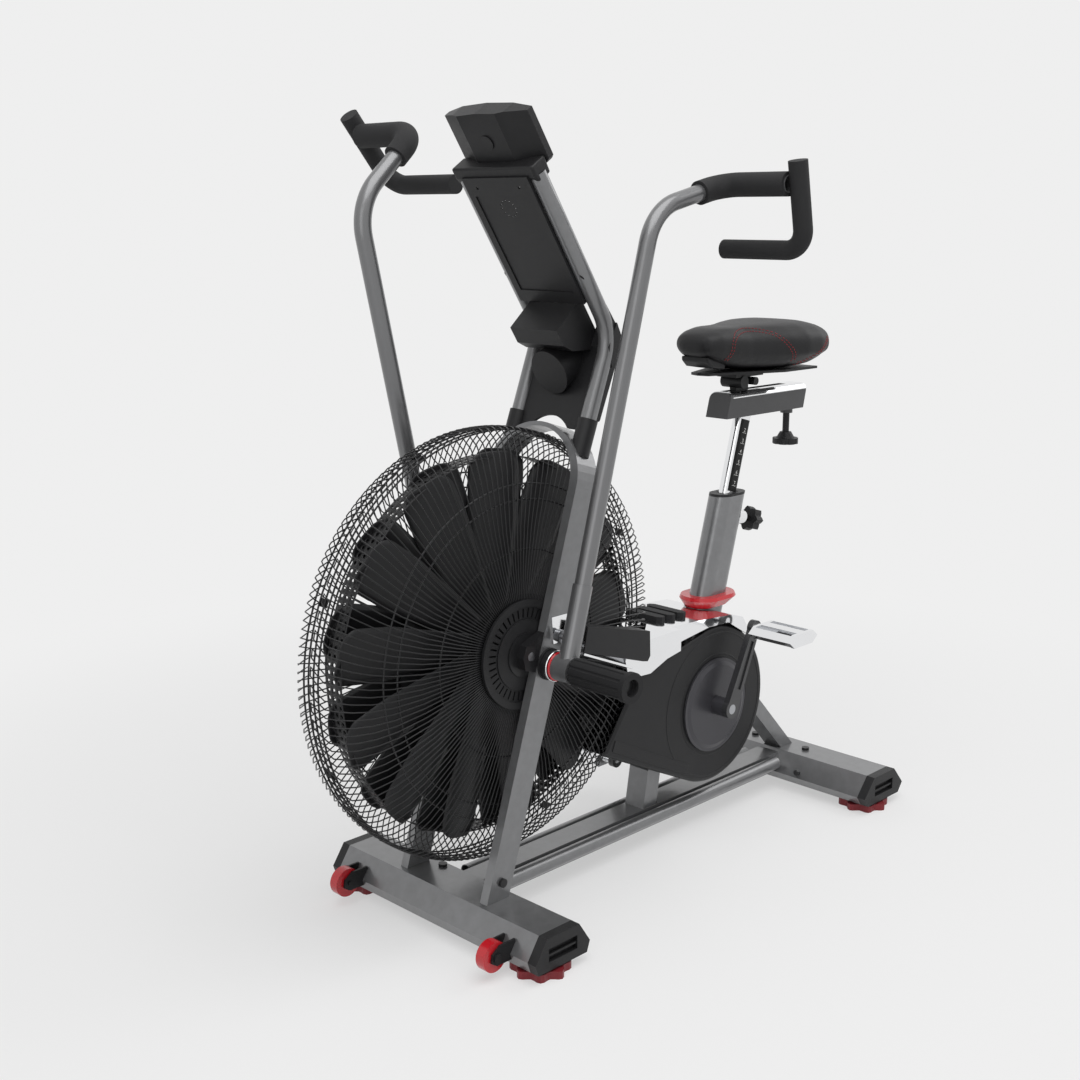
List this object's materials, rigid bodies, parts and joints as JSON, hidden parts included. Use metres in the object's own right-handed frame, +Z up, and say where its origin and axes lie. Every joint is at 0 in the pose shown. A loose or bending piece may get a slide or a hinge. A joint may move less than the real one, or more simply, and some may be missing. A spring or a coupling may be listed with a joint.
{
  "type": "indoor air bike",
  "caption": "Air-resistance exercise bike with a caged fan, swinging lever arms, crank drive, sliding saddle and a tilted console.",
  "frame": {"origin": "On the floor, midway between the cage's front and the rear beam's back, and midway between the outer ends of the grips.", "axes": "+X points from the saddle to the fan, the way the rider faces; +Y points to the rider's left; +Z is up. The record gives positions in metres."},
  "size_m": [1.3567, 0.682, 1.4148],
  "materials": {
    "frame_paint": "gloss",
    "black_plastic": "satin",
    "chrome_trim": "polished",
    "zinc_steel": "satin",
    "cage_wire": "satin",
    "fan_paint": "satin",
    "grip_foam": "matte",
    "red_plastic": "gloss",
    "dark_red_rubber": "matte",
    "crank_grey": "satin",
    "rubber_black": "matte",
    "saddle_cover": "matte",
    "display_glass": "gloss"
  },
  "bodies": {
    "base": {"front_beam": "frame_paint", "rear_beam": "frame_paint", "rails": "frame_paint", "uprights": "frame_paint", "beam_end_caps": "black_plastic", "axles_and_bolts": "cage_wire", "pivot_housings": "black_plastic", "fan_brackets": "cage_wire", "foot_pegs": "rubber_black", "guard_left": "cage_wire", "guard_right": "cage_wire", "hub_caps": "black_plastic", "drive_belt": "rubber_black", "casing_left": "black_plastic", "casing_right": "black_plastic", "top_cover": "chrome_trim", "rubber_pads": "rubber_black", "seat_tube": "frame_paint", "seat_collar": "red_plastic", "tube_insert": "black_plastic", "knob_collar": "chrome_trim", "mast_tubes": "frame_paint", "mast_panel": "black_plastic", "mast_tray": "black_plastic", "console_back": "black_plastic", "console_front": "black_plastic", "display_lens": "display_glass", "link_covers": "black_plastic", "cover_plates": "chrome_trim", "cage_fittings": "black_plastic", "wheel_brackets": "black_plastic"},
    "fan": {"fan_rotor": "fan_paint", "fan_shaft": "zinc_steel"},
    "crank": {"crank_arms": "crank_grey", "crank_discs": "crank_grey", "crank_spindle": "zinc_steel"},
    "pedal_l": {"pedal_left": "chrome_trim"},
    "pedal_r": {"pedal_right": "chrome_trim"},
    "lever_left": {"arm_tube_left": "frame_paint", "arm_grip_left": "grip_foam"},
    "lever_right": {"arm_tube_right": "frame_paint", "arm_grip_right": "grip_foam"},
    "rod_left": {"link_rod_left": "zinc_steel"},
    "rod_right": {"link_rod_right": "zinc_steel"},
    "foot_fl": {"foot_front_left": "dark_red_rubber"},
    "foot_fr": {"foot_front_right": "dark_red_rubber"},
    "foot_rl": {"foot_rear_left": "dark_red_rubber"},
    "foot_rr": {"foot_rear_right": "dark_red_rubber"},
    "roller_left": {"wheel_left": "red_plastic"},
    "roller_right": {"wheel_right": "red_plastic"},
    "pull_knob": {"seat_knob": "black_plastic"},
    "post": {"seat_post": "chrome_trim", "slide_tube": "frame_paint", "slide_plate": "chrome_trim"},
    "post_knob": {"slide_knob": "black_plastic"},
    "seat": {"saddle_carriage": "black_plastic", "saddle": "saddle_cover"},
    "key_left": {"button_left": "rubber_black"},
    "key_middle": {"button_middle": "rubber_black"},
    "key_right": {"button_right": "rubber_black"}
  },
  "joints": [
    {"name": "crank_spin", "type": "hinge", "parent": "base", "child": "crank", "pos_m": [-0.256, 0, 0.271], "axis": [0, 1, 0], "continuous": true},
    {"name": "fan_spin", "type": "hinge", "parent": "base", "child": "fan", "pos_m": [0.2943, 0, 0.4983], "axis": [0, 1, 0], "continuous": true},
    {"name": "pedal_left_spin", "type": "hinge", "parent": "crank", "child": "pedal_l", "pos_m": [-0.32785, 0.19, 0.42507], "axis": [0, 1, 0], "continuous": true},
    {"name": "pedal_right_spin", "type": "hinge", "parent": "crank", "child": "pedal_r", "pos_m": [-0.18415, -0.19, 0.11693], "axis": [0, 1, 0], "continuous": true},
    {"name": "lever_left_swing", "type": "hinge", "parent": "base", "child": "lever_left", "pos_m": [0.255, 0.158, 0.478], "axis": [0, 1, 0], "range_deg": [0, 28]},
    {"name": "lever_right_swing", "type": "hinge", "parent": "base", "child": "lever_right", "pos_m": [0.255, -0.158, 0.478], "axis": [0, 1, 0], "range_deg": [-28, 0]},
    {"name": "rod_left_pin", "type": "hinge", "parent": "lever_left", "child": "rod_left", "pos_m": [0.24137, 0.128, 0.52818], "axis": [0, 1, 0], "range_deg": [-28, 0]},
    {"name": "rod_right_pin", "type": "hinge", "parent": "lever_right", "child": "rod_right", "pos_m": [0.26652, -0.128, 0.52871], "axis": [0, 1, 0], "range_deg": [0, 28]},
    {"name": "foot_fl_turn", "type": "hinge", "parent": "base", "child": "foot_fl", "pos_m": [0.3896, 0.2275, 0.01], "axis": [0, 0, 1], "range_deg": [-360, 360]},
    {"name": "foot_fr_turn", "type": "hinge", "parent": "base", "child": "foot_fr", "pos_m": [0.3896, -0.2275, 0.01], "axis": [0, 0, 1], "range_deg": [-360, 360]},
    {"name": "foot_rl_turn", "type": "hinge", "parent": "base", "child": "foot_rl", "pos_m": [-0.5934, 0.2275, 0.01], "axis": [0, 0, 1], "range_deg": [-360, 360]},
    {"name": "foot_rr_turn", "type": "hinge", "parent": "base", "child": "foot_rr", "pos_m": [-0.5934, -0.2275, 0.01], "axis": [0, 0, 1], "range_deg": [-360, 360]},
    {"name": "roller_left_spin", "type": "hinge", "parent": "base", "child": "roller_left", "pos_m": [0.472, 0.195, 0.042], "axis": [0, 1, 0], "continuous": true},
    {"name": "roller_right_spin", "type": "hinge", "parent": "base", "child": "roller_right", "pos_m": [0.472, -0.195, 0.042], "axis": [0, 1, 0], "continuous": true},
    {"name": "knob_pull", "type": "slide", "parent": "base", "child": "pull_knob", "axis": [-0.9632, 0, -0.2689], "range_m": [0, 0.008], "stiffness_N_per_m": 1500},
    {"name": "post_height", "type": "slide", "parent": "base", "child": "post", "axis": [-0.2689, 0, 0.9632], "range_m": [-0.12, 0.09]},
    {"name": "post_knob_turn", "type": "hinge", "parent": "post", "child": "post_knob", "pos_m": [-0.582, 0, 0.78], "axis": [0, 0, 1], "range_deg": [-180, 180]},
    {"name": "seat_slide", "type": "slide", "parent": "post", "child": "seat", "axis": [1, 0, 0], "range_m": [-0.05, 0.02]},
    {"name": "key_left_press", "type": "slide", "parent": "base", "child": "key_left", "axis": [0.831, 0, -0.5563], "range_m": [0, 0.001], "stiffness_N_per_m": 600},
    {"name": "key_middle_press", "type": "slide", "parent": "base", "child": "key_middle", "axis": [0.831, 0, -0.5563], "range_m": [0, 0.001], "stiffness_N_per_m": 600},
    {"name": "key_right_press", "type": "slide", "parent": "base", "child": "key_right", "axis": [0.831, 0, -0.5563], "range_m": [0, 0.001], "stiffness_N_per_m": 600}
  ],
  "couplings": [
    {"joint": "fan_spin", "follows": "crank_spin", "ratio": 4.1818},
    {"joint": "lever_right_swing", "follows": "lever_left_swing", "ratio": -1},
    {"joint": "rod_left_pin", "follows": "lever_left_swing", "ratio": -1},
    {"joint": "rod_right_pin", "follows": "lever_left_swing", "ratio": 1}
  ]
}
